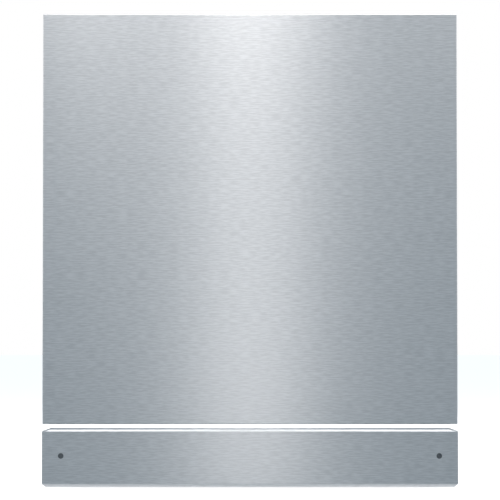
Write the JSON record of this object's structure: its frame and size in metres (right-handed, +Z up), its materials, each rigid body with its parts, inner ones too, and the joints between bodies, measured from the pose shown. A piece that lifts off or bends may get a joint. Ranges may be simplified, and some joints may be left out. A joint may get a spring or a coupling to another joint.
{
  "type": "built in dishwasher",
  "caption": "Built-in dishwasher of reduced height: handleless brushed steel door front that slides as it opens, steel plinth, steel tub, pull-out racks and spray arms.",
  "frame": {"origin": "on the floor, under the middle of the machine's bounding box", "axes": "+X to the machine's left-hand side seen from inside, which is the right-hand side seen from the front; -Y out of the door front; +Z up"},
  "size_m": [0.598, 0.56, 0.681],
  "materials": {
    "front_steel": "fine horizontal grain, satin",
    "tub_steel": "bright rolled sheet",
    "zinc_sheet": "galvanised sheet",
    "bracket_steel": "zinc plated",
    "board": "raw chipboard",
    "base_plastic": "moulded, fine texture",
    "black_plastic": "semi-gloss",
    "button_plastic": "satin",
    "lens_plastic": "polished",
    "grey_plastic": "satin",
    "pale_plastic": "satin",
    "dark_plastic": "satin",
    "coated_wire": "grey nylon coat over steel wire",
    "gasket_rubber": "matte",
    "pale_rubber": "matte",
    "felt": "non-woven felt",
    "mat": "bitumen mat",
    "pump_metal": "cast",
    "spring_steel": "drawn wire",
    "screw_steel": "blackened"
  },
  "bodies": {
    "cabinet": {"base_tray": "base_plastic", "tub_wrapper": "tub_steel", "tub_rear_wall": "tub_steel", "tub_floor": "tub_steel", "tub_gasket": "gasket_rubber", "side_panels": "zinc_sheet", "rear_cover": "zinc_sheet", "top_rail": "zinc_sheet", "tub_insulation": "felt", "sump": "grey_plastic", "fine_filter": "tub_steel", "water_softener": "pale_plastic", "circulation_pump": "pump_metal", "drain_pump": "dark_plastic", "drain_hose": "dark_plastic", "water_inlet_valve": "pale_plastic", "mains_terminal_box": "dark_plastic", "spray_feed_pipe": "grey_plastic", "upper_fixed_rails": "tub_steel", "hinge_brackets": "bracket_steel", "door_springs": "spring_steel", "door_strike": "bracket_steel", "plinth_panel": "front_steel", "plinth_seal": "pale_rubber", "plinth_screws": "screw_steel", "plinth_brackets": "bracket_steel"},
    "door": {"door_outer_shell": "zinc_sheet", "door_liner": "tub_steel", "door_insulation": "mat", "hinge_arms": "bracket_steel", "panel_slide_rails": "bracket_steel", "control_housing": "black_plastic", "display_lens": "lens_plastic", "dispenser_body": "grey_plastic"},
    "door_front": {"door_panel_skin": "front_steel", "door_panel_core": "board"},
    "latch": {"latch_hook": "dark_plastic"},
    "detergent_lid": {"detergent_lid": "pale_plastic"},
    "rinse_aid_cap": {"rinse_aid_cap": "dark_plastic"},
    "power_button": {"power_button": "button_plastic"},
    "program_button": {"program_button": "button_plastic"},
    "start_button": {"start_button": "button_plastic"},
    "lower_rack": {"lower_rack_basket": "coated_wire", "lower_rack_axles": "grey_plastic"},
    "wheels_front": {"wheels_front": "grey_plastic"},
    "wheels_rear": {"wheels_rear": "grey_plastic"},
    "tine_row_left": {"tine_row_left": "coated_wire"},
    "tine_row_right": {"tine_row_right": "coated_wire"},
    "cutlery_basket": {"cutlery_basket": "grey_plastic"},
    "lower_spray_arm": {"lower_spray_arm": "grey_plastic"},
    "upper_rack": {"upper_rack_basket": "coated_wire", "upper_rack_runners": "grey_plastic", "upper_arm_feed": "grey_plastic"},
    "upper_spray_arm": {"upper_spray_arm": "grey_plastic"},
    "cup_shelf": {"cup_shelf_left": "coated_wire"},
    "filter_cylinder": {"filter_cylinder": "grey_plastic"},
    "salt_cap": {"salt_cap": "dark_plastic"},
    "foot_front_left": {"foot_front_left": "dark_plastic"},
    "foot_front_right": {"foot_front_right": "dark_plastic"},
    "feet_rear": {"feet_rear": "dark_plastic"}
  },
  "joints": [
    {"name": "door_hinge", "type": "hinge", "parent": "cabinet", "child": "door", "pos_m": [0, -0.24, 0.134], "axis": [1, 0, 0], "range_deg": [0, 90], "stiffness_Nm_per_rad": 13, "deforming": ["door_springs"]},
    {"name": "front_slide", "type": "slide", "parent": "door", "child": "door_front", "axis": [0, 0, 1], "range_m": [0, 0.055]},
    {"name": "latch_turn", "type": "hinge", "parent": "door", "child": "latch", "pos_m": [0, -0.249, 0.658], "axis": [1, 0, 0], "range_deg": [0, 14], "stiffness_Nm_per_rad": 0.3},
    {"name": "detergent_lid_turn", "type": "hinge", "parent": "door", "child": "detergent_lid", "pos_m": [-0.041, -0.2226, 0.336], "axis": [-1, 0, 0], "range_deg": [0, 100]},
    {"name": "rinse_aid_cap_turn", "type": "hinge", "parent": "door", "child": "rinse_aid_cap", "pos_m": [0.04, -0.2226, 0.384], "axis": [-1, 0, 0], "range_deg": [0, 110]},
    {"name": "power_button_press", "type": "slide", "parent": "door", "child": "power_button", "axis": [0, 0, -1], "range_m": [0, 0.0015], "stiffness_N_per_m": 300},
    {"name": "program_button_press", "type": "slide", "parent": "door", "child": "program_button", "axis": [0, 0, -1], "range_m": [0, 0.0015], "stiffness_N_per_m": 300},
    {"name": "start_button_press", "type": "slide", "parent": "door", "child": "start_button", "axis": [0, 0, -1], "range_m": [0, 0.0015], "stiffness_N_per_m": 300},
    {"name": "lower_rack_slide", "type": "slide", "parent": "cabinet", "child": "lower_rack", "axis": [0, -1, 0], "range_m": [0, 0.11]},
    {"name": "wheels_front_spin", "type": "hinge", "parent": "lower_rack", "child": "wheels_front", "pos_m": [0, -0.11, 0.168], "axis": [1, 0, 0], "range_deg": [0, 360]},
    {"name": "wheels_rear_spin", "type": "hinge", "parent": "lower_rack", "child": "wheels_rear", "pos_m": [0, 0.15, 0.168], "axis": [1, 0, 0], "range_deg": [0, 360]},
    {"name": "tine_row_left_fold", "type": "hinge", "parent": "lower_rack", "child": "tine_row_left", "pos_m": [0.015, 0.015, 0.187], "axis": [0, -1, 0], "range_deg": [0, 90]},
    {"name": "tine_row_right_fold", "type": "hinge", "parent": "lower_rack", "child": "tine_row_right", "pos_m": [0.115, 0.015, 0.187], "axis": [0, -1, 0], "range_deg": [0, 90]},
    {"name": "cutlery_basket_lift", "type": "slide", "parent": "lower_rack", "child": "cutlery_basket", "axis": [0, 0, 1], "range_m": [0, 0.095]},
    {"name": "lower_spray_arm_spin", "type": "hinge", "parent": "cabinet", "child": "lower_spray_arm", "pos_m": [0, 0.01, 0.153], "axis": [0, 0, 1], "continuous": true},
    {"name": "upper_rack_slide", "type": "slide", "parent": "cabinet", "child": "upper_rack", "axis": [0, -1, 0], "range_m": [0, 0.42]},
    {"name": "upper_spray_arm_spin", "type": "hinge", "parent": "upper_rack", "child": "upper_spray_arm", "pos_m": [0, 0.01, 0.438], "axis": [0, 0, 1], "continuous": true},
    {"name": "cup_shelf_fold", "type": "hinge", "parent": "upper_rack", "child": "cup_shelf", "pos_m": [-0.24, 0.01, 0.53], "axis": [0, 1, 0], "range_deg": [0, 90]},
    {"name": "filter_twist", "type": "hinge", "parent": "cabinet", "child": "filter_cylinder", "pos_m": [0.095, -0.045, 0.11], "axis": [0, 0, 1], "range_deg": [0, 45]},
    {"name": "salt_cap_turn", "type": "hinge", "parent": "cabinet", "child": "salt_cap", "pos_m": [-0.15, -0.09, 0.14], "axis": [0, 0, 1], "range_deg": [0, 340]},
    {"name": "foot_front_left_screw", "type": "slide", "parent": "cabinet", "child": "foot_front_left", "axis": [0, 0, -1], "range_m": [0, 0.045]},
    {"name": "foot_front_right_screw", "type": "slide", "parent": "cabinet", "child": "foot_front_right", "axis": [0, 0, -1], "range_m": [0, 0.045]},
    {"name": "feet_rear_screw", "type": "slide", "parent": "cabinet", "child": "feet_rear", "axis": [0, 0, -1], "range_m": [0, 0.045]}
  ],
  "couplings": [
    {"joint": "front_slide", "follows": "door_hinge", "m_per_rad": 0.032},
    {"joint": "lower_rack_slide", "follows": "door_hinge", "m_per_rad": 0.06},
    {"joint": "upper_rack_slide", "follows": "door_hinge", "m_per_rad": 0.26},
    {"joint": "wheels_front_spin", "follows": "door_hinge", "ratio": 3.8217},
    {"joint": "wheels_rear_spin", "follows": "door_hinge", "ratio": 3.8217}
  ]
}
